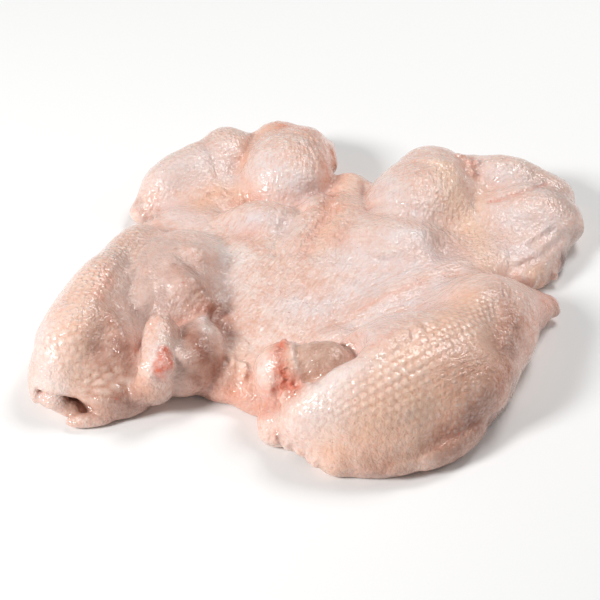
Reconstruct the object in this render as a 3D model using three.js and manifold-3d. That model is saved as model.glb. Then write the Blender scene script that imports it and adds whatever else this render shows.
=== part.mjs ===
// A whole raw chicken, cut open along the breastbone and spread flat with its skin side up.
// The back lies in the middle and the neck points to +Y. The wings lie to the far left and
// the far right, and each half of the breast hangs down outside its folded leg. The bird is
// one piece of meat and skin, so it is one closed body. It rests on its flat underside, and
// its origin is on that underside, below the middle of its outline. Units are millimetres.

import * as THREE from 'three';
import Module from 'manifold-3d';

// Driving dimensions of the whole bird
const SPREAD = 303;
const FLOOR = 0;
const SPARE = 3;
const CLEAR_OF_FLOOR = 0.7;
const SAMPLE_STEP = 5.5;

// Driving dimensions of the meat, each as half lengths of its rounded mass
const BACK_HALF = [54, 87, 19];
const THIGH_HALF = [28, 42, 26];
const CALF_HALF = [18, 24, 22];
const LEFT_BREAST_HALF = [22, 43, 30];
const RIGHT_BREAST_HALF = [52, 36, 33];
const LEFT_DRUMETTE_HALF = [27, 33, 22];
const RIGHT_DRUMETTE_HALF = [28, 43, 23];
const FOREARM_HALF = [29, 19, 18];
const SHANK_RADIUS = 9;
const NECK_RADIUS = 12;

// How softly one mass runs into the next, as the width of the fillet between them
const SHARP = 6;
const CLEAR = 7;
const SOFT = 8;
const SMOOTH = 10;
const FLOWING = 13;

const SKIN_PINK = '#e9c3ae';
const SKIN_ROUGHNESS = 0.42;

// A rounded mass of meat. It lies at a point, has half lengths along its own axes and is
// turned by so many degrees about the upright.
function mass(name, at, half, turn, blend) {
  const angle = THREE.MathUtils.degToRad(turn);
  const cos = Math.cos(angle);
  const sin = Math.sin(angle);
  const [a, b, c] = half;
  return {
    name,
    blend,
    distance(x, y, z) {
      const dx = x - at[0];
      const dy = y - at[1];
      const u = cos * dx + sin * dy;
      const v = cos * dy - sin * dx;
      const w = z - at[2];
      const reach = Math.hypot(u / a, v / b, w / c);
      const slope = Math.hypot(u / (a * a), v / (b * b), w / (c * c));
      return slope > 0 ? reach * (reach - 1) / slope : -Math.min(a, b, c);
    },
  };
}

// A tapered limb between two points, wider than it is high where wide is over 1
function limb(name, start, end, radii, wide, blend) {
  const from = new THREE.Vector3(...start);
  const along = new THREE.Vector3(...end).sub(from);
  const length = along.length();
  along.normalize();
  const side = new THREE.Vector3(0, 0, 1).cross(along).normalize();
  const up = along.clone().cross(side);
  const point = new THREE.Vector3();
  return {
    name,
    blend,
    distance(x, y, z) {
      point.set(x, y, z).sub(from);
      const run = point.dot(along);
      const share = THREE.MathUtils.clamp(run / length, 0, 1);
      const radius = THREE.MathUtils.lerp(radii[0], radii[1], THREE.MathUtils.smoothstep(share, 0, 1));
      return Math.hypot(run - share * length, point.dot(side) / wide, point.dot(up)) - radius;
    },
  };
}

// The back: spine and pelvis, the skin of both flanks, the tail flap, shoulders and neck
function back() {
  return [
    mass('spine and pelvis', [-18, -13, 7], BACK_HALF, -20, SOFT),
    mass('left flank', [-53, 4, 7], [48, 61, 20], -15, FLOWING),
    mass('right flank', [28, 22, 9], [61, 51, 20], 25, FLOWING),
    mass('left armpit', [-77, 47, 7], [30, 19, 16], 10, FLOWING),
    mass('tail flap, left part', [-52, -60, 5], [17, 24, 12], -10, SOFT),
    mass('tail flap, right part', [-37, -70, 3], [14, 18, 8], 20, SOFT),
    mass('left shoulder', [-33, 43, 16], [27, 20, 17], 8, CLEAR),
    limb('skin roll behind the neck', [2, 57, 19], [-19, 14, 16], [11, 8], 1, SOFT),
    mass('right shoulder', [44, 20, 16], [32, 22, 20], -8, SMOOTH),
    mass('neck root', [15, 38, 13], [13, 28, 11], -15, SMOOTH),
    limb('neck stub', [12, 46, 13], [19, 86, 13], [NECK_RADIUS, NECK_RADIUS - 2], 1.4, SHARP),
  ];
}

// The left wing: the drumette, the elbow and the folded forearm, with the web between them
function leftWing() {
  return [
    mass('left drumette', [-19, 94, 19], LEFT_DRUMETTE_HALF, -6, CLEAR),
    mass('left drumette, inner side', [-8, 111, 17], [16, 26, 16], -4, SOFT),
    mass('left drumette, far end', [-21, 127, 16], [18, 14, 16], 6, SOFT),
    mass('left elbow', [-57, 113, 15], [16, 21, 18], 5, CLEAR),
    mass('left forearm', [-80, 91, 13], FOREARM_HALF, 40, CLEAR),
    mass('left elbow fold', [-43, 124, 12], [11, 13, 14], 0, SOFT),
    mass('left forearm root', [-68, 94, 13], [20, 17, 14], 20, SOFT),
    mass('left wing web', [-61, 78, 11], [33, 17, 11], 20, SMOOTH),
    mass('left wrist, cut', [-101, 74, 7], [11, 9, 8], 50, CLEAR),
  ];
}

// The right wing lies wider open, so both muscles of its forearm show side by side
function rightWing() {
  return [
    mass('right drumette', [61, 67, 18], RIGHT_DRUMETTE_HALF, -28, CLEAR),
    mass('right drumette, inner side', [47, 69, 14], [21, 32, 20], -32, SOFT),
    mass('right drumette, far end', [66, 91, 17], [17, 16, 15], -28, SOFT),
    mass('right forearm, upper muscle', [108, 86, 16], [29, 17, 18], -14, CLEAR),
    mass('right forearm tip', [133, 77, 13], [14, 14, 15], -30, CLEAR),
    mass('right elbow', [91, 100, 13], [15, 12, 13], -10, CLEAR),
    mass('right forearm, lower muscle', [121, 56, 13], [32, 23, 19], -10, CLEAR),
    mass('right wing web', [92, 45, 11], [32, 24, 14], -20, FLOWING),
    mass('right wrist, cut', [120, 32, 7], [20, 17, 11], -30, SMOOTH),
    mass('right armpit', [95, 16, 7], [32, 17, 15], 0, FLOWING),
  ];
}

// The left half of the breast, which stands on its cut edge and leans outwards
function leftBreast() {
  return [
    mass('left breast, rear', [-124, -60, 17], [23, 32, 28], -20, SOFT),
    mass('left breast, middle', [-116, -30, 17], LEFT_BREAST_HALF, -20, SMOOTH),
    mass('left breast, neck end', [-102, 8, 17], [19, 30, 23], -20, SMOOTH),
    mass('left breast, belly side', [-106, -69, 11], [28, 30, 17], 0, SMOOTH),
    mass('left breast, inner side', [-107, -61, 20], [15, 25, 19], 4, CLEAR),
    mass('left breast, outer corner', [-136, -79, 10], [13, 15, 14], -40, SOFT),
    mass('left breast, lower skin lip', [-121, -91, 3], [21, 10, 6], 4, CLEAR),
  ];
}

// The left leg, folded up: its thigh lies forward, and the bare shank lies on the calf
function leftLeg() {
  return [
    mass('left thigh', [-82, -10, 17], THIGH_HALF, -25, CLEAR),
    mass('left thigh, back of it', [-72, -27, 17], [19, 24, 23], -20, CLEAR),
    mass('left calf', [-72, -60, 19], CALF_HALF, 0, SHARP),
    mass('left knee', [-83, -82, 19], [15, 12, 16], 0, CLEAR),
    limb('left shank', [-85, -58, 32], [-85, -88, 29], [SHANK_RADIUS, SHANK_RADIUS], 1, SHARP),
  ];
}

// The right half of the breast, larger and rounder, with the trough between it and the back
function rightBreast() {
  return [
    mass('right breast, rear', [10, -106, 17], [33, 21, 27], 22, SOFT),
    mass('right breast, middle', [37, -91, 19], RIGHT_BREAST_HALF, 39, SMOOTH),
    mass('right breast, outer side', [64, -82, 17], [38, 33, 30], 50, SMOOTH),
    mass('right breast, neck end', [86, -43, 15], [38, 30, 25], 70, FLOWING),
    mass('right breast, neck tip', [112, -20, 8], [16, 12, 12], 20, FLOWING),
    mass('right breast, belly side', [37, -118, 8], [42, 21, 16], 12, SMOOTH),
    mass('right breast, outer hem', [74, -94, 6], [31, 13, 11], 47, CLEAR),
    mass('trough beside the back', [52, -24, 7], [61, 26, 20], 39, FLOWING),
    mass('right breast, rear tip', [-19, -103, 9], [13, 12, 12], 39, SOFT),
  ];
}

// The right leg: only the end of its shank and the cut hock come out from under the breast
function rightLeg() {
  return [
    limb('right shank', [-19, -86, 24], [7, -79, 23], [12, 15], 1, SHARP),
    mass('right hock', [-23, -88, 23], [12, 14, 16], 10, CLEAR),
  ];
}

// Hollows: the opening under the skin at the rear of each breast
function hollows() {
  return [
    mass('opening under the left breast skin', [-131, -92, 11], [17, 9, 5], -22, SHARP),
    mass('opening under the right breast skin', [-5, -121, 2], [9, 7, 6], 20, SHARP),
  ];
}

// Joins two distances with a fillet of the given width
function join(a, b, blend) {
  const overlap = Math.max(blend - Math.abs(a - b), 0) / blend;
  return Math.min(a, b) - overlap * overlap * blend / 4;
}

// Distance from the skin of the whole bird, negative inside the meat. The meat ends a little
// below the floor, where it is cut flat afterwards.
function birdDistance() {
  const masses = [
    ...back(), ...leftWing(), ...rightWing(), ...leftBreast(), ...leftLeg(), ...rightBreast(), ...rightLeg(),
  ];
  const cuts = hollows();
  return (x, y, z) => {
    let distance = Infinity;
    for (const piece of masses) {
      distance = join(distance, piece.distance(x, y, z), piece.blend);
    }
    for (const cut of cuts) {
      distance = -join(-distance, cut.distance(x, y, z), cut.blend);
    }
    return Math.max(distance, FLOOR - SPARE - z);
  };
}

// The space that is sampled for the skin, a little larger than the bird
const SAMPLED = new THREE.Box3(new THREE.Vector3(-165, -155, -10), new THREE.Vector3(165, 155, 64));

// Samples a distance on a regular lattice
function sampleLattice(distance, box, step) {
  const size = box.getSize(new THREE.Vector3());
  const count = [size.x, size.y, size.z].map((length) => Math.ceil(length / step) + 1);
  const values = new Float64Array(count[0] * count[1] * count[2]);
  const index = (i, j, k) => (k * count[1] + j) * count[0] + i;
  const place = (i, j, k) => new THREE.Vector3(i, j, k).multiplyScalar(step).add(box.min);
  for (let k = 0; k < count[2]; k += 1) {
    for (let j = 0; j < count[1]; j += 1) {
      for (let i = 0; i < count[0]; i += 1) {
        const point = place(i, j, k);
        values[index(i, j, k)] = distance(point.x, point.y, point.z);
      }
    }
  }
  return { count, values, index, place, step };
}

// Fills each lattice point that lies outside between two inside points at opposite corners of
// a lattice square, so that the skin never meets itself along a line. Filling one can make
// another, so it goes on until none is left.
function fillPinches({ count, values, index, step }) {
  const squares = [[[1, 0, 0], [0, 1, 0]], [[0, 1, 0], [0, 0, 1]], [[1, 0, 0], [0, 0, 1]]];
  const justInside = -step / 100;
  let filled = 1;
  while (filled > 0) {
    filled = 0;
    for (let k = 0; k < count[2] - 1; k += 1) {
      for (let j = 0; j < count[1] - 1; j += 1) {
        for (let i = 0; i < count[0] - 1; i += 1) {
          for (const [a, b] of squares) {
            const square = [
              index(i, j, k),
              index(i + a[0], j + a[1], k + a[2]),
              index(i + a[0] + b[0], j + a[1] + b[1], k + a[2] + b[2]),
              index(i + b[0], j + b[1], k + b[2]),
            ];
            const inside = square.map((corner) => values[corner] < 0);
            if (inside[0] === inside[2] && inside[1] === inside[3] && inside[0] !== inside[1]) {
              const outside = square.filter((corner) => values[corner] >= 0);
              outside.sort((one, other) => values[one] - values[other]);
              values[outside[0]] = justInside;
              filled += 1;
            }
          }
        }
      }
    }
  }
}

// Slides a point along the slope of the distance until it lies on the skin
function settle(point, distance) {
  const probe = 0.05;
  const rounds = 3;
  for (let round = 0; round < rounds; round += 1) {
    const here = distance(point.x, point.y, point.z);
    const slope = new THREE.Vector3(
      distance(point.x + probe, point.y, point.z) - here,
      distance(point.x, point.y + probe, point.z) - here,
      distance(point.x, point.y, point.z + probe) - here,
    ).divideScalar(probe);
    const steepness = Math.max(slope.lengthSq(), 0.25);
    point.addScaledVector(slope, -here / steepness);
  }
  return point;
}

// How far the middle between two points lies from the skin
function offSkin(positions, one, other, distance) {
  const middle = [0, 1, 2].map((axis) => (positions[3 * one + axis] + positions[3 * other + axis]) / 2);
  return Math.abs(distance(...middle));
}

// Lays one point in each lattice cell that the skin crosses, and a quad across each lattice
// edge that it crosses, so the skin comes out closed. Each quad is split along the diagonal
// that lies nearer to the skin. No point lies so close to the floor that the cut there would
// leave slivers.
function skinOver(lattice, distance) {
  const { count, values, index, place, step } = lattice;
  const corners = [];
  for (let corner = 0; corner < 8; corner += 1) {
    corners.push([corner & 1, (corner >> 1) & 1, corner >> 2]);
  }
  const edges = [];
  for (const from of corners) {
    for (let axis = 0; axis < 3; axis += 1) {
      if (from[axis] === 0) {
        const to = [...from];
        to[axis] = 1;
        edges.push([from, to]);
      }
    }
  }
  const positions = [];
  const cellPoint = new Map();
  for (let k = 0; k < count[2] - 1; k += 1) {
    for (let j = 0; j < count[1] - 1; j += 1) {
      for (let i = 0; i < count[0] - 1; i += 1) {
        const sum = new THREE.Vector3();
        let crossings = 0;
        for (const [from, to] of edges) {
          const low = values[index(i + from[0], j + from[1], k + from[2])];
          const high = values[index(i + to[0], j + to[1], k + to[2])];
          if ((low < 0) !== (high < 0)) {
            const start = new THREE.Vector3(...from);
            sum.add(start.lerp(new THREE.Vector3(...to), low / (low - high)));
            crossings += 1;
          }
        }
        if (crossings > 0) {
          const centre = place(i, j, k).addScaledVector(sum, step / crossings);
          const settled = settle(centre.clone(), distance);
          const point = settled.distanceTo(centre) < step / 2 ? settled : centre;
          if (Math.abs(point.z - FLOOR) < CLEAR_OF_FLOOR) {
            point.z = FLOOR - CLEAR_OF_FLOOR;
          }
          cellPoint.set(index(i, j, k), positions.length / 3);
          positions.push(point.x, point.y, point.z);
        }
      }
    }
  }
  const triangles = [];
  for (let k = 1; k < count[2] - 1; k += 1) {
    for (let j = 1; j < count[1] - 1; j += 1) {
      for (let i = 1; i < count[0] - 1; i += 1) {
        for (let axis = 0; axis < 3; axis += 1) {
          const next = [i, j, k];
          next[axis] += 1;
          const here = values[index(i, j, k)] < 0;
          const there = values[index(...next)] < 0;
          if (here !== there) {
            const [second, third] = [(axis + 1) % 3, (axis + 2) % 3];
            const around = [[0, 0], [-1, 0], [-1, -1], [0, -1]].map(([a, b]) => {
              const cell = [i, j, k];
              cell[second] += a;
              cell[third] += b;
              return cellPoint.get(index(...cell));
            });
            const quad = here ? around : around.reverse();
            const offOneWay = offSkin(positions, quad[0], quad[2], distance);
            const offOtherWay = offSkin(positions, quad[1], quad[3], distance);
            const [a, b, c, d] = offOneWay <= offOtherWay ? quad : [...quad.slice(1), quad[0]];
            triangles.push(a, b, c, a, c, d);
          }
        }
      }
    }
  }
  return { positions, triangles };
}

const wasm = await Module();
wasm.setup();

// A solid that can be cut, from plain positions and triangles
function solidOf({ positions, triangles }) {
  return new wasm.Manifold(new wasm.Mesh({
    numProp: 3,
    vertProperties: new Float32Array(positions),
    triVerts: new Uint32Array(triangles),
  }));
}

// A block that holds everything below the floor
function belowFloor() {
  const size = SAMPLED.getSize(new THREE.Vector3()).multiplyScalar(2);
  const box = new THREE.BoxGeometry(size.x, size.y, size.z);
  box.translate(0, 0, FLOOR - size.z / 2);
  const corners = new Map();
  const positions = [];
  const merged = [];
  const place = box.getAttribute('position');
  for (let vertex = 0; vertex < place.count; vertex += 1) {
    const key = [place.getX(vertex), place.getY(vertex), place.getZ(vertex)].join(' ');
    if (!corners.has(key)) {
      corners.set(key, positions.length / 3);
      positions.push(place.getX(vertex), place.getY(vertex), place.getZ(vertex));
    }
    merged.push(corners.get(key));
  }
  const triangles = Array.from(box.getIndex().array, (vertex) => merged[vertex]);
  return solidOf({ positions, triangles });
}

// The bird's geometry: its skin, cut flat by the floor, set to its spread and centred
function birdGeometry() {
  const distance = birdDistance();
  const lattice = sampleLattice(distance, SAMPLED, SAMPLE_STEP);
  fillPinches(lattice);
  const whole = solidOf(skinOver(lattice, distance));
  const resting = whole.subtract(belowFloor());
  const mesh = resting.getMesh();
  const geometry = new THREE.BufferGeometry();
  geometry.setAttribute('position', new THREE.BufferAttribute(new Float32Array(mesh.vertProperties), 3));
  geometry.setIndex(new THREE.BufferAttribute(new Uint32Array(mesh.triVerts), 1));
  geometry.computeBoundingBox();
  const box = geometry.boundingBox;
  const middle = box.getCenter(new THREE.Vector3());
  geometry.translate(-middle.x, -middle.y, -box.min.z);
  const scale = SPREAD / (box.max.x - box.min.x);
  geometry.scale(scale, scale, scale);
  geometry.computeVertexNormals();
  return geometry;
}

const skin = new THREE.MeshStandardMaterial({ color: SKIN_PINK, roughness: SKIN_ROUGHNESS, metalness: 0 });
const bird = new THREE.Mesh(birdGeometry(), skin);
bird.name = 'raw_chicken';

const chicken = new THREE.Group();
chicken.add(bird);

export default chicken;
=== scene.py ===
# Looks of a whole raw chicken, cut open along the breastbone and spread flat, skin side up.
# The frame's solid gives its size and place. The same masses of meat are shaped again here,
# much finer, with the folds of the skin, the feather follicles, the cut joints and the loose
# edges of skin and fat. Shapes are given in millimetres and turned to metres at the end.

import math

import bpy
import numpy as np
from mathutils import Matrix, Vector


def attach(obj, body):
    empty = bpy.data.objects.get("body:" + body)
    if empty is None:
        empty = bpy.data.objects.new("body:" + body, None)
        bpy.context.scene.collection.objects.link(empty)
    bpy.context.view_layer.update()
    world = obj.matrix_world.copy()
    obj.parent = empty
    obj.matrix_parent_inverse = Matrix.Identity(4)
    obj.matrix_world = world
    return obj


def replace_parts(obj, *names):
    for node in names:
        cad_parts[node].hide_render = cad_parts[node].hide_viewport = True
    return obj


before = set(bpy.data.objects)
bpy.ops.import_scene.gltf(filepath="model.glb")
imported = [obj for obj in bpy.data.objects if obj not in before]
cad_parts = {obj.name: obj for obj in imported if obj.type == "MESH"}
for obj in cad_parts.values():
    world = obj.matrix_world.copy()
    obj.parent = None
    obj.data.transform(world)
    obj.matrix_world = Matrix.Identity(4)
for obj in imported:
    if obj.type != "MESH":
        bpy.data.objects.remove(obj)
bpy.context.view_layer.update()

NODE = "raw_chicken"
METRES = 0.001

# Middle of the masses below, which the frame's solid stands centred on
MIDDLE = (1.3, 0.3, 0)

# Width of the fillet between one mass and the next
CRISP = 3
SHARP = 4.5
CLEAR = 6
SOFT = 8
SMOOTH = 10
FLOWING = 13

# Softness of the edge where the skin ends, and of the rim that rests on the floor
EDGE_SOFTNESS = 0.4
RIM_ROUNDING = 0.6

# Lattice of points that the bird is shaped on, the distance it starts with, and the room that
# is kept round each mass
LATTICE_LOW = (-163, -152, -3.5)
LATTICE_HIGH = (165, 152, 60)
LATTICE_STEP = 1.28
FAR_AWAY = 60.0
MARGIN = 6

# Underside: what counts as lying on the floor, the grid that it is thinned to, and the height
# up to which the fine relief fades in
LYING = 0.05
UNDERSIDE_STEP = 6
RELIEF_FADES_IN = 4

# Camera, as the photograph was taken: angle above the table, distance and frame
CAMERA_ELEVATION = 40
CAMERA_DISTANCE = 948.6
CAMERA_AIM = (-12.3, -0.3, 0)
LENS = 102.06
SENSOR = 36


class Line:
    """A line through a few points on the skin, and where other points lie beside it."""

    def __init__(self, *points):
        self.points = [np.array(point, float) for point in points]

    def box(self, reach):
        return np.min(self.points, 0) - reach, np.max(self.points, 0) + reach

    def beside(self, x, y, z, flat=0.5):
        """Distance from the line, and how far to its left a point lies. Heights count less."""
        distance = np.full(np.shape(x), 1e9, np.float32)
        left = np.zeros(np.shape(x), np.float32)
        for start, end in zip(self.points[:-1], self.points[1:]):
            run = end - start
            length = math.hypot(run[0], run[1]) or 1e-6
            dx, dy, dz = x - start[0], y - start[1], z - start[2]
            share = np.clip((dx * run[0] + dy * run[1]) / length ** 2, 0, 1)
            off = np.sqrt(
                (dx - share * run[0]) ** 2
                + (dy - share * run[1]) ** 2
                + (flat * (dz - share * run[2])) ** 2
            )
            side = (run[0] * dy - run[1] * dx) / length
            nearer = off < distance
            distance = np.where(nearer, off, distance)
            left = np.where(nearer, side, left)
        return distance, left


class Mass:
    """A rounded mass of meat. It is turned about the upright and may lean along its own x axis."""

    def __init__(self, name, at, half, turn=0, blend=SOFT, lean=0):
        self.name = name
        self.at = np.array(at, float)
        self.half = np.array(half, float)
        self.blend = blend
        cos, sin = math.cos(math.radians(turn)), math.sin(math.radians(turn))
        up, over = math.cos(math.radians(lean)), math.sin(math.radians(lean))
        self.axes = np.array([
            [cos * up, sin * up, over],
            [-sin, cos, 0],
            [-cos * over, -sin * over, up],
        ])

    def box(self):
        reach = np.sqrt(((self.axes.T * self.half) ** 2).sum(1)) + self.blend + MARGIN
        return self.at - reach, self.at + reach

    def distance(self, x, y, z):
        dx, dy, dz = x - self.at[0], y - self.at[1], z - self.at[2]
        reach = 0
        slope = 0
        for axis, half in zip(self.axes, self.half):
            along = (axis[0] * dx + axis[1] * dy + axis[2] * dz) / half
            reach = reach + along ** 2
            slope = slope + (along / half) ** 2
        reach = np.sqrt(reach) + 1e-6
        return reach * (reach - 1) / (np.sqrt(slope) + 1e-6)


class Limb:
    """A tapered limb between two points, wider than it is high where wide is over 1."""

    def __init__(self, name, start, end, radii, wide=1.0, blend=SOFT):
        self.name = name
        self.start = np.array(start, float)
        self.run = np.array(end, float) - self.start
        self.length = np.linalg.norm(self.run)
        self.radii = radii
        self.wide = wide
        self.blend = blend
        along = self.run / self.length
        side = np.cross([0, 0, 1], along)
        side = side / np.linalg.norm(side)
        self.axes = (along, side, np.cross(along, side))

    def box(self):
        reach = max(self.radii) * max(self.wide, 1) + self.blend + MARGIN
        end = self.start + self.run
        return np.minimum(self.start, end) - reach, np.maximum(self.start, end) + reach

    def distance(self, x, y, z):
        dx, dy, dz = x - self.start[0], y - self.start[1], z - self.start[2]
        run, across, up = [axis[0] * dx + axis[1] * dy + axis[2] * dz for axis in self.axes]
        share = np.clip(run / self.length, 0, 1)
        ease = share * share * (3 - 2 * share)
        radius = self.radii[0] + (self.radii[1] - self.radii[0]) * ease
        beyond = run - share * self.length
        return np.sqrt(beyond ** 2 + (across / self.wide) ** 2 + up ** 2) - radius


def right_side(left):
    """1 to the right of a line and 0 to its left, from how far to the left a point lies."""
    return 1 / (1 + np.exp(np.clip(left / EDGE_SOFTNESS, -30, 30)))


def join(one, other, blend):
    """Two distances joined with a fillet."""
    overlap = np.clip(blend - np.abs(one - other), 0, None) / blend
    return np.minimum(one, other) - overlap * overlap * blend / 4


class Flesh:
    """Distance from the skin on a regular lattice of points, negative inside the meat."""

    def __init__(self, low, high, step):
        self.low = np.array(low, float)
        self.step = step
        self.axes = [np.arange(a, b + step, step) for a, b in zip(low, high)]
        self.values = np.full([len(axis) for axis in self.axes], FAR_AWAY, np.float32)

    def near(self, box):
        """The part of the lattice inside a box, and its coordinates."""
        cut = []
        for axis, low, high in zip(self.axes, *box):
            first, last = np.searchsorted(axis, (low, high))
            cut.append(slice(max(first - 1, 0), last + 1))
        places = [axis[part].astype(np.float32) for axis, part in zip(self.axes, cut)]
        return tuple(cut), np.meshgrid(*places, indexing="ij", sparse=True)

    def add(self, piece):
        cut, place = self.near(piece.box())
        self.values[cut] = join(self.values[cut], piece.distance(*place), piece.blend)

    def take(self, piece):
        cut, place = self.near(piece.box())
        self.values[cut] = -join(-self.values[cut], piece.distance(*place), piece.blend)

    def press(self, line, width, depth, lip=0.0, sharp=True):
        """Presses a fold along a line, with a raised lip to the left of it."""
        cut, place = self.near(line.box(4 * width))
        distance, left = line.beside(*place)
        groove = np.exp(-distance / (0.45 * width)) if sharp else np.exp(-(distance / width) ** 2)
        self.values[cut] += depth * groove
        if lip:
            past = np.sqrt(np.clip(distance ** 2 - left ** 2, 0, None))
            self.values[cut] -= lip * np.exp(-((left - width) / width) ** 2 - (past / width) ** 2)

    def step_down(self, line, reach, depth):
        """Lowers what lies to the right of a line, as beside an edge where the skin ends."""
        cut, place = self.near(line.box(2 * reach))
        distance, left = line.beside(*place)
        self.values[cut] += depth * right_side(left) * np.exp(-(distance / reach) ** 2)

    def rest_on_floor(self):
        height = self.axes[2].astype(np.float32)[None, None, :]
        self.values = -join(-self.values, height + 0 * self.values, RIM_ROUNDING)

    def sample(self, points):
        """Distance and its slope at any points, read between the lattice points."""
        place = (points - self.low) / self.step
        cell = np.floor(place).astype(int)
        cell = np.clip(cell, 0, np.array(self.values.shape) - 2)
        share = place - cell
        corner = {}
        for i in (0, 1):
            for j in (0, 1):
                for k in (0, 1):
                    corner[i, j, k] = self.values[cell[:, 0] + i, cell[:, 1] + j, cell[:, 2] + k]
        value = 0
        slope = [0, 0, 0]
        for (i, j, k), here in corner.items():
            sides = enumerate((i, j, k))
            weight = [share[:, axis] if side else 1 - share[:, axis] for axis, side in sides]
            value = value + here * weight[0] * weight[1] * weight[2]
            sign = [1 if side else -1 for side in (i, j, k)]
            slope[0] = slope[0] + sign[0] * here * weight[1] * weight[2]
            slope[1] = slope[1] + sign[1] * here * weight[0] * weight[2]
            slope[2] = slope[2] + sign[2] * here * weight[0] * weight[1]
        return value, np.stack(slope, 1) / self.step


def skin_over(flesh):
    """Points and four-sided faces of the skin: one point in each cell that it crosses."""
    values = flesh.values
    inside = values < 0
    cells = tuple(n - 1 for n in values.shape)
    count = np.zeros(cells, np.int8)
    for i in (0, 1):
        for j in (0, 1):
            for k in (0, 1):
                count += inside[i:cells[0] + i, j:cells[1] + j, k:cells[2] + k]
    cell = np.argwhere((count > 0) & (count < 8))
    number = np.full(cells, -1, np.int64)
    number[tuple(cell.T)] = np.arange(len(cell))
    total = np.zeros((len(cell), 3))
    crossings = np.zeros(len(cell))
    for axis in range(3):
        step = np.eye(3, dtype=int)[axis]
        for a in (0, 1):
            for b in (0, 1):
                start = np.zeros(3, int)
                start[(axis + 1) % 3] = a
                start[(axis + 2) % 3] = b
                near = values[tuple((cell + start).T)]
                far = values[tuple((cell + start + step).T)]
                crossed = (near < 0) != (far < 0)
                share = near[crossed] / (near[crossed] - far[crossed])
                total[crossed] += start + share[:, None] * step
                crossings[crossed] += 1
    points = flesh.low + (cell + total / crossings[:, None]) * flesh.step
    faces = []
    for axis in range(3):
        low = [slice(1, -1)] * 3
        high = [slice(1, -1)] * 3
        high[axis] = slice(2, None)
        here = inside[tuple(low)]
        there = inside[tuple(high)]
        edge = np.argwhere(here != there) + 1
        outward = here[tuple((edge - 1).T)]
        second, third = (axis + 1) % 3, (axis + 2) % 3
        ring = []
        for a, b in ((0, 0), (-1, 0), (-1, -1), (0, -1)):
            around = edge.copy()
            around[:, second] += a
            around[:, third] += b
            ring.append(number[tuple(around.T)])
        ring = np.stack(ring, 1)
        faces.append(np.where(outward[:, None], ring, ring[:, ::-1]))
    return points, np.concatenate(faces)


def settle(points, flesh, rounds=2):
    """Slides points along the slope of the distance until they lie on the skin."""
    for _ in range(rounds):
        value, slope = flesh.sample(points)
        steepness = np.clip((slope ** 2).sum(1), 0.25, None)
        move = np.clip(-value / steepness, -0.5 * flesh.step, 0.5 * flesh.step)
        points = points + slope * move[:, None]
    return points


def normals_of(points, flesh):
    """Directions that point straight out of the skin."""
    _, slope = flesh.sample(points)
    return slope / (np.linalg.norm(slope, axis=1, keepdims=True) + 1e-9)


# Masses of the bird: those of the solid, some of them set a few millimetres closer to the real one

def back():
    return [
        Mass("spine and pelvis", (-17, -10, 7), (54, 83, 19), -20, SOFT),
        Mass("left flank", (-53, 4, 7), (48, 61, 20), -15, FLOWING),
        Mass("right flank", (28, 22, 9), (61, 51, 20), 25, FLOWING),
        Mass("left armpit", (-77, 47, 7), (30, 19, 16), 10, FLOWING),
        Mass("tail flap, left part", (-51, -60, 5), (17, 24, 12), -10, SOFT),
        Mass("tail flap, right part", (-33, -75, 3), (13, 20, 8), 10, SOFT),
        Mass("left shoulder", (-33, 43, 16), (27, 20, 17), 8, CLEAR),
        Limb("skin roll behind the neck", (2, 57, 19), (-19, 14, 16), (11, 8), 1, SOFT),
        Mass("right shoulder", (44, 20, 16), (32, 22, 20), -8, SMOOTH),
        Mass("neck root", (15, 38, 13), (13, 28, 11), -15, SMOOTH),
        Limb("neck stub", (12, 46, 13), (19, 86, 13), (12, 10), 1.4, SHARP),
    ]


def left_wing():
    return [
        Mass("drumette", (-19, 94, 19), (27, 33, 22), -6, CLEAR),
        Mass("drumette, inner side", (-8, 111, 17), (16, 26, 16), -4, SOFT),
        Mass("drumette, far end", (-25, 127, 16), (16, 14, 16), 8, SOFT),
        Mass("elbow", (-55, 114, 15), (18, 21, 18.5), 5, SHARP),
        Mass("forearm", (-80, 91.5, 13), (29, 19.5, 19), 40, SHARP),
        Mass("forearm, upper side", (-69, 105, 14), (17, 14, 17), 35, SOFT),
        Mass("elbow fold", (-43, 121, 12), (10, 12, 13), 0, SOFT),
        Mass("forearm root", (-68, 94, 13), (20, 17, 14), 20, SOFT),
        Mass("wing web", (-61, 78, 11), (33, 17, 11), 20, SMOOTH),
        Mass("wrist, cut", (-101, 74, 7), (11, 9, 8), 50, CLEAR),
        Limb("edge of the skin beside the neck", (6, 131, 13), (6, 108, 14), (4, 5), 1, CLEAR),
    ]


def right_wing():
    return [
        Mass("drumette", (61, 67, 18), (28, 43, 23), -28, CLEAR),
        Mass("drumette, inner side", (48, 69, 14), (20, 31, 19), -32, SOFT),
        Mass("drumette, far end", (65, 93, 18), (18, 17, 17), -28, SOFT),
        Mass("forearm, upper muscle", (109, 86, 16), (30, 18, 18), -14, SHARP),
        Mass("forearm tip", (135, 74, 13), (15, 16, 15), -30, CLEAR),
        Mass("elbow", (91, 100, 13), (15, 12, 13), -10, CLEAR),
        Mass("forearm, lower muscle", (121, 56, 13), (32, 23, 19), -10, SHARP),
        Mass("skin over the elbow's joint", (90, 74, 21), (8, 12, 7), 0, CLEAR),
        Mass("skin hanging from the wrist", (132, 34, 7), (9, 17, 7), -14, CLEAR),
        Mass("wing web", (92, 45, 11), (32, 24, 14), -20, FLOWING),
        Mass("wrist, cut", (120, 32, 7), (20, 17, 11), -30, SMOOTH),
        Mass("armpit", (95, 16, 7), (32, 17, 15), 0, FLOWING),
    ]


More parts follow.
